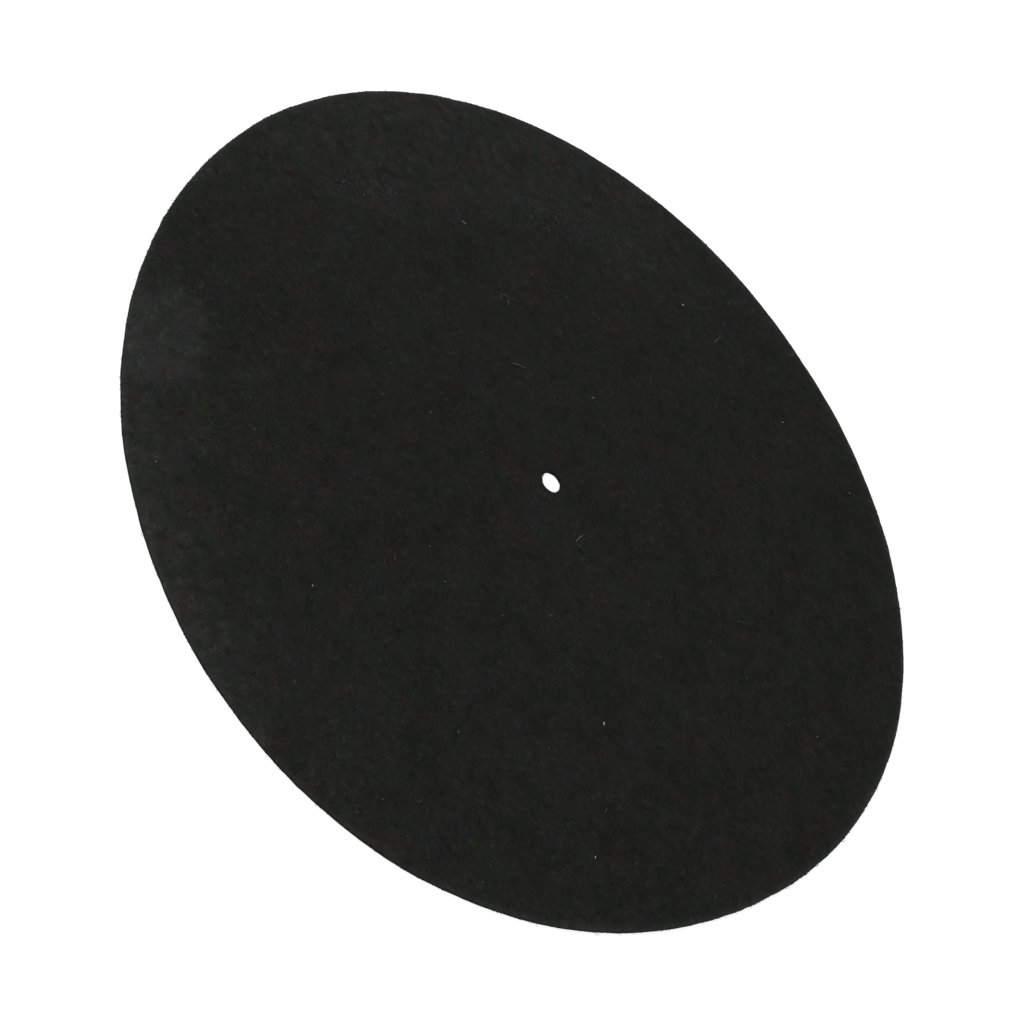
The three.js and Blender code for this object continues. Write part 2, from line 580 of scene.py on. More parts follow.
def wear_and_sheen_paleness(x, y, colours):
    """How much paler the felt is: worn in the rubbed patch and scuffs, painted sheen in the arcs.

    Scuffs fall off as bells. An arc rises softly from its inner radius, fades to both of its
    ends by the fourth power of the turn, and is streaked.
    """
    worn_and_sheened = colours.patch_gain * patch_share(x, y, colours)
    for place_x, place_y, size in SCUFFS.values():
        apart = np.hypot(x - place_x * MM, y - place_y * MM) / (size * MM)
        worn_and_sheened += colours.scuff_gain * np.exp(-(apart**2))
    radius = np.hypot(x, y)
    angle = np.arctan2(y, x)
    streaks = 1 + STREAK_DEPTH * smooth_waves(x, y, STREAK_SIZE, SEED_STREAKS)
    streaks = streaks.clip(LEAST_STREAK)
    # Painted sheen: each arc makes the felt paler near the rim on the side the light comes from.
    for heading, spread, inner, softness, gain in SHEEN_ARCS.values():
        turn = np.angle(np.exp(1j * (angle - math.radians(heading)))) / math.radians(spread)
        risen = 1 / (1 + np.exp((inner * MM - radius) / (softness * MM)))
        worn_and_sheened += gain * np.exp(-(turn**4)) * risen * streaks
    return worn_and_sheened


def rim_wall(cut):
    """The rim's wall as (radius, height), from the end of the record face to the underside.

    A quarter ellipse rolls the shoulder, a parabola waists the wall, and a quarter circle
    rounds the exit.
    """
    quarter = np.linspace(0, math.pi / 2, CORNER_STEPS + 1)[:-1]
    down = np.linspace(0, 1, WALL_STEPS + 1)[:-1]
    foot = THICKNESS - cut.rim_roll_drop
    radius = np.concatenate([
        RIM_RADIUS + cut.rim_roll_width * (np.sin(quarter) - 1),
        RIM_RADIUS - cut.rim_waist * 4 * down * (1 - down),
        RIM_RADIUS + cut.exit_round * (np.cos(quarter) - 1),
    ])
    height = np.concatenate([
        foot + cut.rim_roll_drop * np.cos(quarter),
        foot + (cut.exit_round - foot) * down,
        cut.exit_round * (1 - np.sin(quarter)),
    ])
    return radius, height


def hole_wall(cut):
    """The hole's wall as (radius, height), from the end of the underside up to the record face."""
    quarter = np.linspace(0, math.pi / 2, CORNER_STEPS + 1)[:-1]
    up = np.linspace(0, 1, WALL_STEPS + 1)[:-1]
    foot = THICKNESS - cut.hole_roll_drop
    radius = np.concatenate([
        HOLE_RADIUS + cut.exit_round * (1 - np.sin(quarter)),
        HOLE_RADIUS + cut.hole_waist * 4 * up * (1 - up),
        HOLE_RADIUS + cut.hole_roll_width * (1 - np.cos(quarter)),
    ])
    height = np.concatenate([
        cut.exit_round * (1 - np.cos(quarter)),
        cut.exit_round + (foot - cut.exit_round) * up,
        foot + cut.hole_roll_drop * np.sin(quarter),
    ])
    return radius, height


def sheet_grid(cut):
    """The felt sheet as a closed grid of places, steps round by steps along the section.

    The section runs out along the record face, down the rim's wall, in along the underside and up
    the hole's wall. It is turned about the axis, carried to the felt's outline, and its height is
    shared between the underside and the dimpled face.
    """
    rim_radius, rim_height = rim_wall(cut)
    hole_radius, hole_height = hole_wall(cut)
    face_in = HOLE_RADIUS + cut.hole_roll_width
    face_out = RIM_RADIUS - cut.rim_roll_width
    under_out = RIM_RADIUS - cut.exit_round
    under_in = HOLE_RADIUS + cut.exit_round
    face = face_in + (face_out - face_in) * eased_steps(FACE_STEPS)[:-1]
    under = under_out + (under_in - under_out) * eased_steps(UNDER_STEPS)[:-1]
    radius = np.concatenate([face, rim_radius, under, hole_radius])
    height = np.concatenate([
        np.full(len(face), THICKNESS), rim_height, np.zeros(len(under)), hole_height])
    angle = np.linspace(0, 2 * math.pi, STEPS_AROUND, endpoint=False)
    x, y = outline_places(
        np.outer(np.cos(angle), radius), np.outer(np.sin(angle), radius), cut)
    share = height / THICKNESS
    z = UNDER_GAP + (face_height(x, y, cut) - UNDER_GAP) * share
    return np.stack([x, y, z], axis=-1)


def closed_grid_faces(rows, columns):
    """Four-sided faces of a grid that closes on itself both ways, facing out of the section."""
    row = np.arange(rows)[:, None]
    column = np.arange(columns)[None, :]
    after_row = (row + 1) % rows
    after_column = (column + 1) % columns
    corners = [
        row * columns + column,
        row * columns + after_column,
        after_row * columns + after_column,
        after_row * columns + column,
    ]
    return np.stack(corners, axis=-1).reshape(-1, 4)


def tube_faces(rings):
    """Triangles of one pointed three-sided tube: a tip, its rings of three corners, and a tip."""
    first_tip = 0
    last_tip = 1 + 3 * rings
    last_ring = 1 + 3 * (rings - 1)
    faces = []
    for corner in range(3):
        after = (corner + 1) % 3
        faces.append((first_tip, 1 + corner, 1 + after))
        faces.append((last_tip, last_ring + after, last_ring + corner))
        for ring in range(rings - 1):
            low = 1 + 3 * ring
            high = low + 3
            faces.append((low + corner, high + corner, high + after))
            faces.append((low + corner, high + after, low + after))
    return np.array(faces)


def fibre_tubes(paths, widths):
    """Pointed three-sided tubes along many paths at once, as points and triangles.

    paths holds the same number of points for each fibre. Its end points are the tips, and each
    point between carries three corners, evenly round the path at half the width from it, and
    pressed flatter by the share FLATNESS.
    """
    tangent = np.gradient(paths, axis=1)
    tangent /= np.linalg.norm(tangent, axis=2, keepdims=True)
    side = np.cross(tangent, (0.0, 0.0, 1.0))
    side /= np.linalg.norm(side, axis=2, keepdims=True)
    lift = np.cross(side, tangent)
    turn = np.radians(CORNER_TURNS)[None, None, :, None]
    across = np.cos(turn) * side[:, 1:-1, None]
    spokes = across + FLATNESS * np.sin(turn) * lift[:, 1:-1, None]
    corners = paths[:, 1:-1, None] + spokes * (widths / 2)[:, None, None, None]
    count, steps = paths.shape[:2]
    corners = corners.reshape(count, 3 * (steps - 2), 3)
    points = np.concatenate([paths[:, :1], corners, paths[:, -1:]], axis=1)
    start = np.arange(count) * points.shape[1]
    faces = tube_faces(steps - 2)[None] + start[:, None, None]
    return points.reshape(-1, 3), faces.reshape(-1, 3)


def add_piece(name, points, faces, material):
    """Makes a smooth mesh object that rides with the mat."""
    mesh = bpy.data.meshes.new(name)
    mesh.from_pydata(points, [], faces, shade_flat=False)
    mesh.materials.append(material)
    piece = bpy.data.objects.new(name, mesh)
    bpy.context.scene.collection.objects.link(piece)
    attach(piece, BODY)
    return piece


def set_paleness(mesh, paleness, blueness):
    """Stores for the material how pale each vertex is in red, green and blue.

    Blue is raised by the share blueness.
    """
    gains = np.stack([paleness, paleness, paleness * (1 + blueness)], axis=-1)
    layer = mesh.attributes.new("paleness", "FLOAT_VECTOR", "POINT")
    layer.data.foreach_set("vector", gains.astype(np.float32).ravel())


def map_fibres(mesh, count):
    """Gives each fibre a cell of its own on a square map, because its paleness is its own.

    Along the fibre is u, from tip to tip, and round it is v.
    """
    cells = math.ceil(math.sqrt(count))
    corners = len(mesh.vertices) // count
    rings = (corners - 2) // 3
    along = np.concatenate([[0], np.repeat(np.arange(1, rings + 1), 3), [rings + 1]])
    round_it = np.concatenate([[0.5], np.tile([0, 0.5, 1], rings), [0.5]])
    within = np.stack([along / (rings + 1), round_it], axis=-1)
    inset = CELL_MARGIN + (1 - 2 * CELL_MARGIN) * within
    fibre = np.arange(count)
    cell = np.stack([fibre % cells, fibre // cells], axis=-1)
    places = ((cell[:, None] + inset[None]) / cells).reshape(-1, 2)
    vertex = np.empty(len(mesh.loops), np.int32)
    mesh.loops.foreach_get("vertex_index", vertex)
    layer = mesh.uv_layers.new(name=BAKE_MAP)
    layer.uv.foreach_set("vector", places[vertex].astype(np.float32).ravel())


def add_fibres(name, paths, widths, paleness, blueness, material):
    """Makes one piece of many fibres, each with its own paleness and blueness."""
    points, faces = fibre_tubes(paths, widths)
    piece = add_piece(name, points, faces, material)
    corners = len(points) // len(paths)
    set_paleness(piece.data, np.repeat(paleness, corners), np.repeat(blueness, corners))
    map_fibres(piece.data, len(paths))
    return piece


def scatter(random, spread, count, middle=0.0):
    """Random factors: e raised to normal numbers of a middle and a spread."""
    return np.exp(random.normal(middle, spread, count))


def for_strands(wisps, count):
    """Gives each of count strands the value that its wisp has."""
    return np.repeat(wisps, STRANDS_IN_WISP)[:count]


def wisps_on_face(nap, cut, count, random):
    """Centre lines of fibres strewn over the face, as x and y with a row for each fibre.

    Fibres lie in wisps. A wisp has a random place and a heading near the nap's, which swirls
    slowly over the face, and its strands lie beside each other a little askew. Each fibre bows
    sideways by a parabola.
    """
    wisps = math.ceil(count / STRANDS_IN_WISP)
    inner = (HOLE_RADIUS + CUT_MARGIN) ** 2
    outer = (RIM_RADIUS - CUT_MARGIN) ** 2
    radius = np.sqrt(random.uniform(inner, outer, wisps))
    angle = random.uniform(0, 2 * math.pi, wisps)
    x = for_strands(radius * np.cos(angle), count)
    y = for_strands(radius * np.sin(angle), count)
    heading = for_strands(random.normal(nap.heading, nap.spread, wisps), count)
    heading = heading + SWIRL * smooth_waves(x, y, SWIRL_SIZE, SEED_SWIRL)
    heading = heading + random.normal(0, ASKEW, count)
    length = nap.fibre_length * scatter(random, LENGTH_SCATTER, count)
    bow = length * for_strands(random.normal(0, BOW, wisps), count)
    ahead = random.normal(0, AHEAD, count) * nap.fibre_length
    beside = random.normal(0, nap.wisp_width, count)
    step = np.linspace(-0.5, 0.5, FIBRE_POINTS)
    along = ahead[:, None] + length[:, None] * step
    across = beside[:, None] + bow[:, None] * (4 * step**2 - 1 / 3)
    cosine = np.cos(heading)[:, None]
    sine = np.sin(heading)[:, None]
    x = x[:, None] + along * cosine - across * sine
    y = y[:, None] + along * sine + across * cosine
    return outline_places(x, y, cut)


def arch(points):
    """A low arch over a fibre's steps: 0 at both tips and 1 at the middle."""
    return np.cos(math.pi * np.linspace(-0.5, 0.5, points))


def fibre_widths(usual_width, count, random):
    """Widths scattered round the usual one."""
    return usual_width * scatter(random, WIDTH_SCATTER, count)


def wisp_tones(nap, count, random):
    """Paleness of each fibre: that of its wisp, a little varied.

    Most wisps are near the felt's own tone and a few are far from it, so their spread is
    Laplace's and not a normal one.
    """
    wisps = math.ceil(count / STRANDS_IN_WISP)
    shared = np.exp(random.laplace(WISP_PALENESS, nap.paleness_spread, wisps))
    return for_strands(shared, count) * scatter(random, TONE_SCATTER, count)


def face_wear_and_painted_light(x, y, cut, colours):
    """How pale and how much bluer wear, painted sheen and painted rim glare make each fibre of the
    record face.
    """
    worn_and_sheened = wear_and_sheen_paleness(x, y, colours)
    pale = 1 + worn_and_sheened + rim_glare_paleness(x, y, cut, colours)
    return pale.mean(axis=1), colours.wear_and_sheen_blue * worn_and_sheened.mean(axis=1)


def hair_path(x, y, heading, length, curl, points):
    """Centre lines of curled hairs lying in a plane, as x and y with a row for each hair.

    The heading turns evenly along the hair by curl, and the places are the running sum of short
    straight steps, centred on the hair's own place.
    """
    step = np.linspace(-0.5, 0.5, points - 1)
    turn = heading[:, None] + curl[:, None] * step
    stride = (length / (points - 1))[:, None]
    start = np.zeros((len(x), 1))
    along = np.concatenate([start, np.cumsum(stride * np.cos(turn), axis=1)], axis=1)
    across = np.concatenate([start, np.cumsum(stride * np.sin(turn), axis=1)], axis=1)
    along -= along.mean(axis=1, keepdims=True)
    across -= across.mean(axis=1, keepdims=True)
    return x[:, None] + along, y[:, None] + across


def add_node(tree, kind, inputs=(), **settings):
    """Adds a shader node. inputs pairs a socket's name or number with a value or a socket."""
    node = tree.nodes.new(kind)
    for name, value in settings.items():
        setattr(node, name, value)
    for socket, value in dict(inputs).items():
        if isinstance(value, bpy.types.NodeSocket):
            tree.links.new(value, node.inputs[socket])
        else:
            node.inputs[socket].default_value = value
    return node


def cleared_tree(owner):
    """The node tree of a new material or world, with nothing in it."""
    owner.use_nodes = True
    owner.node_tree.nodes.clear()
    return owner.node_tree


def new_surface(name):
    """A material with a shader that is dressed as felt, as (material, node tree, shader)."""
    material = bpy.data.materials.new(name)
    tree = cleared_tree(material)
    shader = add_node(tree, "ShaderNodeBsdfPrincipled", FELT_FINISH)
    add_node(tree, "ShaderNodeOutputMaterial", {"Surface": shader.outputs["BSDF"]})
    return material, tree, shader


def worked(tree, operation, first, second=0.0):
    """One operation on two numbers."""
    node = add_node(tree, "ShaderNodeMath", {0: first, 1: second}, operation=operation)
    return node.outputs["Value"]


def vector_worked(tree, operation, first, second):
    """One operation on two vectors or colours, part by part."""
    node = add_node(tree, "ShaderNodeVectorMath", {0: first, 1: second}, operation=operation)
    return node.outputs["Vector"]


def scaled(tree, vector, factor):
    """A vector or a colour times a number."""
    node = add_node(
        tree, "ShaderNodeVectorMath", {0: vector, "Scale": factor}, operation="SCALE")
    return node.outputs["Vector"]


def mixed(tree, share, first, second):
    """Mixes two numbers by a share."""
    # Sockets 0, 2 and 3 are the share and the two numbers. The others are for other kinds.
    node = add_node(tree, "ShaderNodeMix", {0: share, 2: first, 3: second}, data_type="FLOAT")
    return node.outputs[0]


def stretched(tree, value, low, high):
    """A number stretched so that low comes to 0 and high to 1, and held between them."""
    node = add_node(
        tree, "ShaderNodeMapRange", {"Value": value, "From Min": low, "From Max": high})
    return node.outputs["Result"]


def around_one(tree, value, gain):
    """A gain round 1 from a noise that runs round its middle."""
    return worked(tree, "ADD", worked(tree, "MULTIPLY", value, gain), 1 - NOISE_MIDDLE * gain)


def in_millimetres(tree):
    """Object coordinates in millimetres, so that the sizes below are in millimetres too."""
    return scaled(tree, add_node(tree, "ShaderNodeTexCoord").outputs["Object"], 1 / MM)


def noise_of(tree, place, size, halvings=0.0, roughness=0.5):
    """Noise whose patches run from a size down through some halvings, as (number, colour)."""
    node = add_node(
        tree, "ShaderNodeTexNoise",
        {"Vector": place, "Scale": 1 / size, "Detail": halvings, "Roughness": roughness})
    return node.outputs["Fac"], node.outputs["Color"]


def clouds(tree, place, size, halvings):
    """Noise whose small patches are as strong as its large ones."""
    number, _ = noise_of(tree, place, size, halvings, roughness=1.0)
    return number


def crimped(tree, place, size, reach):
    """Places pushed about by soft noise of a size: its colour, less the middle, times reach."""
    _, noise = noise_of(tree, place, size)
    push = scaled(tree, vector_worked(tree, "SUBTRACT", noise, [NOISE_MIDDLE] * 3), reach)
    return vector_worked(tree, "ADD", place, push)


def drawn_noise(tree, place, heading, length, width, halvings):
    """Noise drawn out along a heading: of places turned by it and divided by length and width."""
    turned = add_node(
        tree, "ShaderNodeVectorRotate", {"Vector": place, "Angle": -heading},
        rotation_type="Z_AXIS")
    drawn = vector_worked(
        tree, "MULTIPLY", turned.outputs["Vector"], (1 / length, 1 / width, 1 / width))
    number, _ = noise_of(tree, drawn, 1.0, halvings, STRAND_ROUGHNESS)
    return number


def strand_pattern(tree, place, heading, strands):
    """Soft strands from 0 to 1: drawn noise with its contrast raised."""
    turn, length, width = strands
    noise = drawn_noise(
        tree, place, heading + math.radians(turn), length, width, STRAND_HALVINGS)
    return stretched(tree, noise, *STRAND_RANGE)


def curl_lines(tree, place, heading, length, width):
    """Curved lines from 0 to 1: those along which drawn noise crosses its middle."""
    noise = drawn_noise(tree, place, heading, length, width, 0.0)
    off = worked(tree, "ABSOLUTE", worked(tree, "SUBTRACT", noise, NOISE_MIDDLE))
    line = add_node(
        tree, "ShaderNodeMapRange",
        {"Value": off, "From Min": 0.0, "From Max": CURL_WIDTH, "To Min": 1.0, "To Max": 0.0},
        interpolation_type="SMOOTHSTEP")
    return line.outputs["Result"]


def curled(tree, place, heading, sets):
    """Short curved lines from 0 to 1 in several sets that cross each other.

    Each set has its own heading and is faded in and out by its own noise, and the strongest of
    them shows at each place.
    """
    shown = 0.0
    for turn, length, width in sets:
        offset = (SET_OFFSET[0] * turn, SET_OFFSET[1] * turn, 0.0)
        spot = vector_worked(tree, "ADD", place, offset)
        lines = curl_lines(tree, spot, heading + math.radians(turn), length, width)
        fading, _ = noise_of(tree, spot, CURL_FADE_SIZE)
        faded = worked(tree, "MULTIPLY", lines, stretched(tree, fading, *CURL_FADE))
        shown = worked(tree, "MAXIMUM", faded, shown)
    return shown


def tinted(tree, place, colour, drift):
    """The colour with its red and its blue drifting up and down over the felt.

    Part of each drift is one that they share, so that the felt leans to green or to purple.
    """
    shared, *own = [
        clouds(tree, vector_worked(tree, "ADD", place, offset), TINT_SIZE, TINT_HALVINGS)
        for offset in (SHARED_DRIFT, RED_DRIFT, BLUE_DRIFT)]
    red, blue = [
        around_one(tree, mixed(tree, 1 - DRIFT_SHARED, shared, noise), drift) for noise in own]
    gains = add_node(tree, "ShaderNodeCombineXYZ", {"X": red, "Y": 1.0, "Z": blue})
    return vector_worked(tree, "MULTIPLY", tuple(colour), gains.outputs["Vector"])


def paled(tree, colour):
    """A colour times the paleness that each vertex has."""
    pale = add_node(tree, "ShaderNodeAttribute", attribute_name="paleness").outputs["Vector"]
    return vector_worked(tree, "MULTIPLY", colour, pale)


def felt_surface(colours, nap):
    """Matted felt: fine strands, pale curls of painted highlight, dark furrows of painted shadow,
    clouds, and a drifting tint.
    """
    material, tree, shader = new_surface("matted_felt")
    place = in_millimetres(tree)
    bent = crimped(tree, place, CRIMP_SIZE, CRIMP_REACH)
    with_nap = strand_pattern(tree, bent, nap.heading, STRANDS_WITH)
    across_nap = strand_pattern(tree, bent, nap.heading, STRANDS_ACROSS)
    lay, _ = noise_of(tree, place, LAY_SIZE, LAY_HALVINGS)
    strands = mixed(tree, stretched(tree, lay, *LAY_RANGE), with_nap, across_nap)
    # Painted highlight on raised loops of fibre, and painted shadow in the furrows beside them.
    curls = curled(tree, bent, nap.heading, CURL_HIGHLIGHT_SETS)
    furrows = curled(tree, bent, nap.heading, FURROW_SHADOW_SETS)
    texture = around_one(tree, strands, colours.strand_gain)
    texture = worked(tree, "ADD", texture, worked(tree, "MULTIPLY", curls, colours.curl_highlight_gain))
    texture = worked(
        tree, "SUBTRACT", texture, worked(tree, "MULTIPLY", furrows, colours.furrow_shadow_gain))
    cloud = around_one(tree, clouds(tree, place, CLOUD_SIZE, CLOUD_HALVINGS), colours.cloud_gain)
    tint = tinted(tree, place, colours.felt, colours.tint_drift)
    # The paleness attribute holds the wear and also the painted sheen and rim glare.
    colour = paled(tree, scaled(tree, tint, worked(tree, "MULTIPLY", texture, cloud)))
    tree.links.new(colour, shader.inputs["Base Color"])
    bump = add_node(
        tree, "ShaderNodeBump",
        {"Strength": BUMP_STRENGTH, "Distance": BUMP_DEPTH, "Height": texture})
    tree.links.new(bump.outputs["Normal"], shader.inputs["Normal"])
    return material


def fibre_surface(name, colour, drift):
    """A fibre, as pale as its own attribute says, with a drifting tint."""
    material, tree, shader = new_surface(name)
    tint = tinted(tree, in_millimetres(tree), colour, drift)
    tree.links.new(paled(tree, tint), shader.inputs["Base Color"])
    return material


def material_once(name, make, *details):
    """The material of that name, made the first time it is asked for."""
    return bpy.data.materials.get(name) or make(*details)


def felt_fibre_material(colours):
    """The material that all fibres of the felt share."""
    return material_once(
        "felt_fibre", fibre_surface, "felt_fibre", colours.fibre, colours.tint_drift)


def felt_settings(context):
    """The settings of the cut, the nap and the colours."""
    scene = context.scene
    return scene.platter_mat_cut, scene.platter_mat_nap, scene.platter_mat_colours


class PLATTERMAT_OT_nap(bpy.types.Operator):
    """Strews matted fibres over the record face, in layers"""

    bl_idname = "platter_mat.nap"
    bl_label = "Nap of the Record Face"

    def execute(self, context):
        cut, nap, colours = felt_settings(context)
        material = felt_fibre_material(colours)
        count = nap.fibres_in_layer
        for layer in range(nap.layers):
            random = np.random.default_rng(SEED_NAP + layer)
            x, y = wisps_on_face(nap, cut, count, random)
            # Each fibre starts and ends a little inside the felt and arches up between.
            rise = nap.rise * scatter(random, RISE_SCATTER, count)[:, None]
            z = face_height(x, y, cut) - SINK * nap.fibre_width + rise * arch(FIBRE_POINTS)
            # Wear, painted sheen and the painted glare at the rim make the fibres paler.
            pale, blue = face_wear_and_painted_light(x, y, cut, colours)
            pale = pale * wisp_tones(nap, count, random)
            paths = np.stack([x, y, z], axis=-1)
            widths = fibre_widths(nap.fibre_width, count, random)
            name = f"record_face_nap_{layer + 1}"
            piece = add_fibres(name, paths, widths, pale, blue, material)
        return {"FINISHED"}


class PLATTERMAT_OT_scuffs(bpy.types.Operator):
    """Raises short pale fibres from the record face where it was scuffed"""

    bl_idname = "platter_mat.scuffs"
    bl_label = "Scuffs of the Record Face"

    def execute(self, context):
        cut, nap, colours = felt_settings(context)
        random = np.random.default_rng(SEED_SCUFFS)
        scuffs = np.array(list(SCUFFS.values()))
        count = nap.scuff_fibres
        # A scuff has its share of the fibres by its area, and they thin out from its middle.
        share = scuffs[:, 2] ** 2 / (scuffs[:, 2] ** 2).sum()
        chosen = scuffs[random.choice(len(scuffs), count, p=share)]
        off = random.normal(0, SCUFF_SPREAD, (count, 2)) * chosen[:, 2:]
        x, y = (chosen[:, :2] + off).T * MM
        heading = random.normal(nap.heading, SCUFF_TURN, count)
        length = nap.scuff_length * scatter(random, LENGTH_SCATTER, count)
        curl = random.normal(0, CURL_TURN, count)
        x, y = hair_path(x, y, heading, length, curl, FIBRE_POINTS)
        rise = nap.rise * scatter(random, SCUFF_SCATTER, count, SCUFF_RISE)[:, None]
        z = face_height(x, y, cut) + rise * arch(FIBRE_POINTS)
        pale = nap.scuff_paleness * scatter(random, SCUFF_SCATTER, count)
        paths = np.stack([x, y, z], axis=-1)
        blue = np.full(count, colours.wear_and_sheen_blue)
        widths = fibre_widths(SCUFF_WIDTH * nap.fibre_width, count, random)
        material = felt_fibre_material(colours)
        piece = add_fibres("record_face_scuffs", paths, widths, pale, blue, material)
        return {"FINISHED"}


class PLATTERMAT_OT_underside_nap(bpy.types.Operator):
    """Presses fibres flat on the underside, down to the surface that the mat lies on"""

    bl_idname = "platter_mat.underside_nap"
    bl_label = "Nap of the Underside"

    def execute(self, context):
        cut, nap, colours = felt_settings(context)
        random = np.random.default_rng(SEED_UNDER)
        count = nap.under_fibres
        x, y = wisps_on_face(nap, cut, count, random)
        widths = np.minimum(fibre_widths(nap.fibre_width, count, random), UNDER_GAP)
        # Each fibre hangs from the felt and sags by a random share of the room below it.
        top = UNDER_GAP - FLATNESS * widths
        room = (top - widths / 2).clip(0)
        sag = random.uniform(*UNDER_SAG, count) * room
        z = top[:, None] - sag[:, None] * arch(FIBRE_POINTS)
        paths = np.stack([x, y, z], axis=-1)
        pale = wisp_tones(nap, count, random)
        material = felt_fibre_material(colours)
        piece = add_fibres("underside_nap", paths, widths, pale, np.zeros(count), material)
        return {"FINISHED"}


def fuzz_paths(wall, outwards, count, nap, cut, random):
    """Centre lines of the fuzz on a cut wall.

    A fibre runs along the cut and climbs a little. It arches off the wall, and some stand free at
    one end. outwards is 1 at the rim and -1 in the hole.
    """
    wall_radius, wall_height = wall
    order = np.argsort(wall_height)
    length = FUZZ_LENGTH * nap.fibre_length * scatter(random, FUZZ_LENGTH_SCATTER, count)
    length = np.minimum(length, MOST_FUZZ_LENGTH * wall_radius.min())
    climb = random.normal(0, FUZZ_CLIMB, count)
    middle = random.uniform(*FUZZ_MIDDLES, count) * THICKNESS
    step = np.linspace(-0.5, 0.5, FIBRE_POINTS)
    height = middle[:, None] + (length * np.sin(climb))[:, None] * step
    height = height.clip(*FUZZ_HEIGHTS)
    radius = np.interp(height, wall_height[order], wall_radius[order])
    turn = random.uniform(0, 2 * math.pi, count)
    angle = turn[:, None] + (length * np.cos(climb))[:, None] * step / wall_radius.mean()
    reach = nap.edge_reach * scatter(random, FUZZ_REACH_SCATTER, count)
    free = (random.random(count) < FREE_SHARE)[:, None]
    held_arch = reach[:, None] * arch(FIBRE_POINTS) - FUZZ_SINK
    free_end = 2 * reach[:, None] * (step + 0.5) - FUZZ_SINK
    radius = radius + outwards * np.where(free, free_end, held_arch)
    x, y = outline_places(radius * np.cos(angle), radius * np.sin(angle), cut)
    height = height * (THICKNESS - NAP_DEPTH - UNDER_GAP) / THICKNESS + UNDER_GAP
    return np.stack([x, y, height], axis=-1)


class PLATTERMAT_OT_edge_fuzz(bpy.types.Operator):
    """Leaves the fuzz of the knife along the rim and that of the punch in the hole"""

    bl_idname = "platter_mat.edge_fuzz"
    bl_label = "Fuzz of the Cut Edges"

    def execute(self, context):
        cut, nap, colours = felt_settings(context)
        material = felt_fibre_material(colours)
        edges = [
            ("rim_fuzz", rim_wall(cut), 1, nap.rim_fibres, SEED_RIM_FUZZ),
            ("hole_fuzz", hole_wall(cut), -1, nap.hole_fibres, SEED_HOLE_FUZZ),
        ]
        for name, wall, outwards, count, seed in edges:
            random = np.random.default_rng(seed)
            paths = fuzz_paths(wall, outwards, count, nap, cut, random)
            widths = fibre_widths(FUZZ_WIDTH * nap.fibre_width, count, random)
            # Fuzz near the rim is painted paler by the same glare as the felt beside it.
            glared = rim_glare_paleness(paths[:, :, 0], paths[:, :, 1], cut, colours)
            pale = wisp_tones(nap, count, random) * (1 + glared.mean(axis=1))
            piece = add_fibres(name, paths, widths, pale, np.zeros(count), material)
        return {"FINISHED"}


def lint_rows(random):
    """The lint as rows: first the placed hairs, then the placed specks, then the strewn ones.

    Each row holds the place, the heading, the length, the turn from end to end, the width and
    the paleness. Strewn specks are as many in one part of the face as in another, so the square
    of their distance from the axis is drawn evenly.
    """
    hairs = np.array(list(HAIRS.values()))
    chosen = np.array(list(SPECKS.values()))
    outer = RIM_RADIUS - STREWN_MARGIN
    radius = np.sqrt(random.uniform(STREWN_INNER**2, outer**2, STREWN_SPECKS))
    angle = random.uniform(0, 2 * math.pi, STREWN_SPECKS)
    count = len(chosen) + STREWN_SPECKS
    columns = [
        [hairs[:, 0] * MM, chosen[:, 0] * MM, radius * np.cos(angle)],
        [hairs[:, 1] * MM, chosen[:, 1] * MM, radius * np.sin(angle)],
        [np.radians(hairs[:, 2]), random.uniform(0, 2 * math.pi, count)],
        [hairs[:, 3] * MM, chosen[:, 2] * MM, random.uniform(*STREWN_LENGTHS, STREWN_SPECKS)],
        [np.radians(hairs[:, 4]), random.normal(0, CURL_TURN, count)],
        [np.full(len(hairs), HAIR_WIDTH), SPECK_WIDTH * chosen[:, 2] * MM,
         random.uniform(*STREWN_WIDTHS, STREWN_SPECKS)],
        [hairs[:, 5], np.full(len(chosen), SPECK_PALENESS),
         scatter(random, STREWN_SCATTER, STREWN_SPECKS, STREWN_PALENESS)],
    ]
    return np.stack([np.concatenate(column) for column in columns], axis=-1)


class PLATTERMAT_OT_lint(bpy.types.Operator):
    """Lays the stray hairs and pale specks on the record face"""

    bl_idname = "platter_mat.lint"
    bl_label = "Lint"

    def execute(self, context):
        cut, _, colours = felt_settings(context)
        rows = lint_rows(np.random.default_rng(SEED_LINT))
        x, y, heading, length, curl, widths, pale = rows.T
        x, y = hair_path(x, y, heading, length, curl, HAIR_POINTS)
        # A hair lies on the nap by its middle, and its ends stand up a little.
        ends_up = HAIR_ENDS * (1 - arch(HAIR_POINTS))
        z = face_height(x, y, cut) + HAIR_LIE + ends_up
        paths = np.stack([x, y, z], axis=-1)
        material = material_once("lint", fibre_surface, "lint", colours.lint, LINT_DRIFT)
        add_fibres("lint", paths, widths, pale, np.zeros(len(pale)), material)
        return {"FINISHED"}


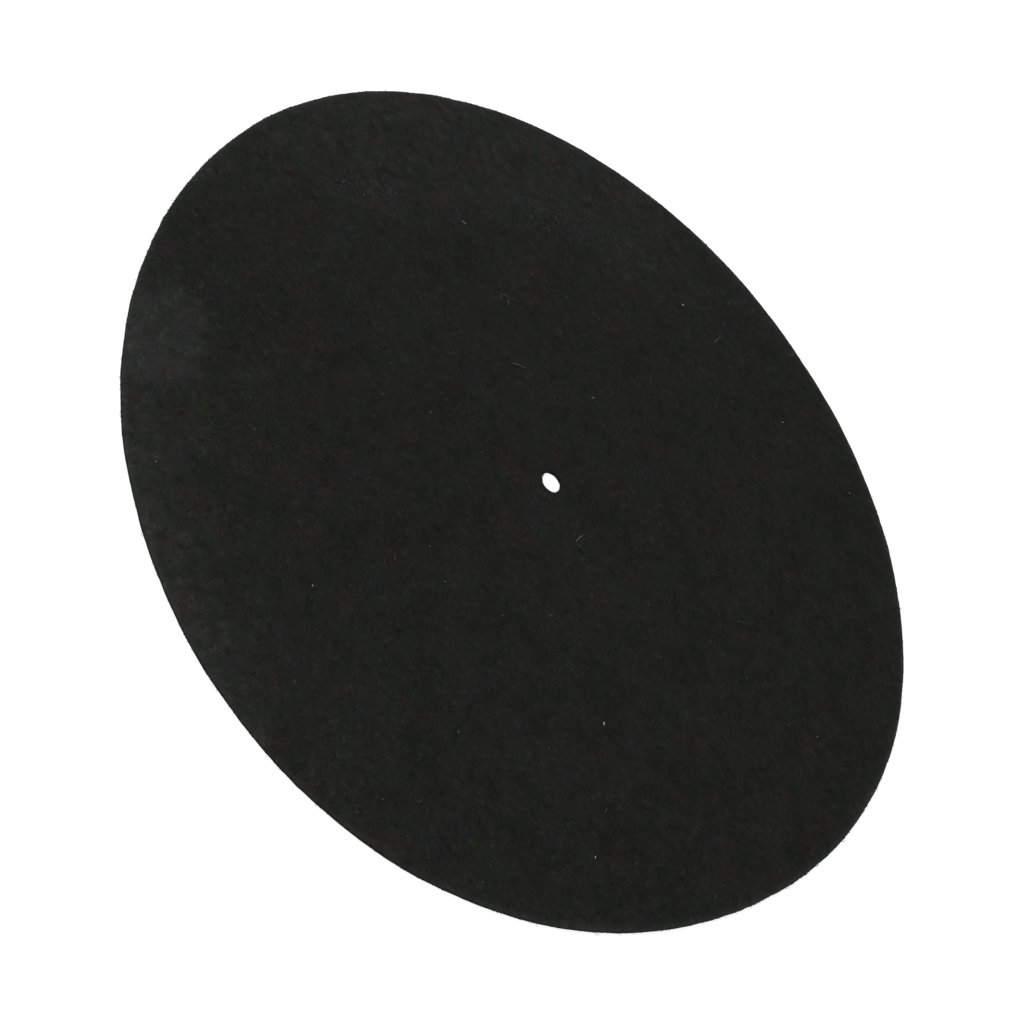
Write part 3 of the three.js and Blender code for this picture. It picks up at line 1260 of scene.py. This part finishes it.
class PLATTERMAT_OT_felt_sheet(bpy.types.Operator):
    """Makes the felt itself, in place of the plain solid"""

    bl_idname = "platter_mat.felt_sheet"
    bl_label = "Felt Sheet"

    def execute(self, context):
        cut, nap, colours = felt_settings(context)
        grid = sheet_grid(cut)
        rows, columns = grid.shape[:2]
        points = grid.reshape(-1, 3)
        material = material_once("matted_felt", felt_surface, colours, nap)
        piece = add_piece("felt_sheet", points, closed_grid_faces(rows, columns), material)
        x, y, z = points.T
        # The record face has the wear and the painted sheen, the underside hasn't, and the walls go
        # from one to the other. The painted glare lies on all of them near the rim.
        on_face = (z / THICKNESS).clip(0, 1)
        worn_and_sheened = wear_and_sheen_paleness(x, y, colours) * on_face
        pale = 1 + worn_and_sheened + rim_glare_paleness(x, y, cut, colours)
        set_paleness(piece.data, pale, colours.wear_and_sheen_blue * worn_and_sheened)
        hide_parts(CAD_NODE)
        return {"FINISHED"}


class PLATTERMAT_OT_lay_down(bpy.types.Operator):
    bl_idname = "platter_mat.lay_down"
    bl_label = "Lay the Sheet Down"

    def execute(self, context):
        return {"FINISHED"}


def seen_by_camera(tree):
    """1 for light that goes to the camera, straight or by way of a mirror or glass, else 0."""
    ray = add_node(tree, "ShaderNodeLightPath").outputs
    by_way = worked(tree, "MAXIMUM", ray["Is Glossy Ray"], ray["Is Transmission Ray"])
    return worked(tree, "MAXIMUM", ray["Is Camera Ray"], by_way)


def floor_surface(stage):
    """A pale floor that the camera sees as white, but for the shadow on it."""
    material = bpy.data.materials.new("pale_floor")
    tree = cleared_tree(material)
    paint = add_node(tree, "ShaderNodeBsdfDiffuse", {"Color": (*stage.floor_colour, 1)})
    glow = add_node(tree, "ShaderNodeEmission", {"Strength": stage.floor_glow})
    share = worked(tree, "MULTIPLY", seen_by_camera(tree), FLOOR_GLOW_SHARE)
    both = add_node(
        tree, "ShaderNodeMixShader",
        {0: share, 1: paint.outputs["BSDF"], 2: glow.outputs["Emission"]})
    add_node(tree, "ShaderNodeOutputMaterial", {"Surface": both.outputs["Shader"]})
    return material


def add_floor(stage):
    """A flat floor at the height of the underside."""
    half = stage.floor_size / 2
    corners = [(-half, -half, 0), (half, -half, 0), (half, half, 0), (-half, half, 0)]
    mesh = bpy.data.meshes.new("stage_floor")
    mesh.from_pydata(corners, [], [(0, 1, 2, 3)])
    mesh.materials.append(floor_surface(stage))
    floor = bpy.data.objects.new("stage_floor", mesh)
    bpy.context.scene.collection.objects.link(floor)


def light_sky(stage):
    """An even sky that lights softly and that the camera sees as pale grey past the floor."""
    world = bpy.data.worlds.new("even_sky")
    tree = cleared_tree(world)
    strength = mixed(tree, seen_by_camera(tree), stage.sky, 1.0)
    sky = add_node(tree, "ShaderNodeBackground", {"Strength": strength})
    add_node(tree, "ShaderNodeOutputWorld", {"Surface": sky.outputs["Background"]})
    bpy.context.scene.world = world


def add_softbox(stage):
    """A square softbox that looks at the middle of the mat."""
    lamp = bpy.data.lights.new("softbox", "AREA")
    lamp.energy = stage.softbox_power
    lamp.size = stage.softbox_size
    softbox = bpy.data.objects.new("softbox", lamp)
    place = Vector(stage.softbox_place)
    softbox.location = place
    softbox.rotation_mode = "QUATERNION"
    softbox.rotation_quaternion = (-place).to_track_quat("-Z", "Y")
    bpy.context.scene.collection.objects.link(softbox)


def add_camera(stage):
    """The photograph's camera: it stands in front, looks at the aim, and is rolled."""
    lens = bpy.data.cameras.new("camera")
    lens.lens = stage.lens
    camera = bpy.data.objects.new("camera", lens)
    back = stage.distance * math.cos(stage.elevation)
    up = stage.distance * math.sin(stage.elevation)
    place = Vector((0, -back, THICKNESS + up))
    aim = Vector((*stage.aim, THICKNESS))
    level = (aim - place).to_track_quat("-Z", "Y")
    camera.location = place
    camera.rotation_mode = "QUATERNION"
    camera.rotation_quaternion = level @ Quaternion((0, 0, 1), stage.roll)
    bpy.context.scene.collection.objects.link(camera)
    bpy.context.scene.camera = camera


class PLATTERMAT_OT_stage(bpy.types.Operator):
    """Sets up the floor, the light and the camera"""

    bl_idname = "platter_mat.stage"
    bl_label = "Stage"

    def execute(self, context):
        stage = context.scene.platter_mat_stage
        add_floor(stage)
        light_sky(stage)
        add_softbox(stage)
        add_camera(stage)
        context.scene.view_settings.view_transform = "Standard"
        return {"FINISHED"}


class PLATTERMAT_PT_sidebar(bpy.types.Panel):
    """Sizes, colours and steps of the platter mat"""

    bl_idname = "PLATTERMAT_PT_sidebar"
    bl_label = "Platter Mat"
    bl_space_type = "VIEW_3D"
    bl_region_type = "UI"
    bl_category = "Platter Mat"

    def draw(self, context):
        for name in SETTINGS:
            settings = getattr(context.scene, name)
            box = self.layout.box()
            for item in settings.bl_rna.properties:
                # Every group has these two as well, and they are no settings of the mat.
                if item.identifier not in ("rna_type", "name"):
                    box.prop(settings, item.identifier)
        for operator in OPERATORS:
            self.layout.operator(operator.bl_idname)


SETTINGS = {
    "platter_mat_cut": PlatterMatCut,
    "platter_mat_nap": PlatterMatNap,
    "platter_mat_colours": PlatterMatColours,
    "platter_mat_stage": PlatterMatStage,
}
OPERATORS = [
    PLATTERMAT_OT_stage,
    PLATTERMAT_OT_felt_sheet,
    PLATTERMAT_OT_nap,
    PLATTERMAT_OT_scuffs,
    PLATTERMAT_OT_underside_nap,
    PLATTERMAT_OT_edge_fuzz,
    PLATTERMAT_OT_lint,
    PLATTERMAT_OT_lay_down,
]


def register():
    """Registers the settings, the steps and the panel."""
    for name, group in SETTINGS.items():
        bpy.utils.register_class(group)
        setattr(bpy.types.Scene, name, bpy.props.PointerProperty(type=group))
    for operator in OPERATORS:
        bpy.utils.register_class(operator)
    bpy.utils.register_class(PLATTERMAT_PT_sidebar)


def unregister():
    """Takes away what register has added."""
    bpy.utils.unregister_class(PLATTERMAT_PT_sidebar)
    for operator in reversed(OPERATORS):
        bpy.utils.unregister_class(operator)
    for name, group in SETTINGS.items():
        delattr(bpy.types.Scene, name)
        bpy.utils.unregister_class(group)


def main():
    """Makes the mat and its stage."""
    register()
    bpy.ops.platter_mat.stage()
    bpy.ops.platter_mat.felt_sheet()
    bpy.ops.platter_mat.nap()
    bpy.ops.platter_mat.scuffs()
    bpy.ops.platter_mat.underside_nap()
    bpy.ops.platter_mat.edge_fuzz()
    bpy.ops.platter_mat.lint()
    bpy.ops.platter_mat.lay_down()


if __name__ == "__main__":
    main()
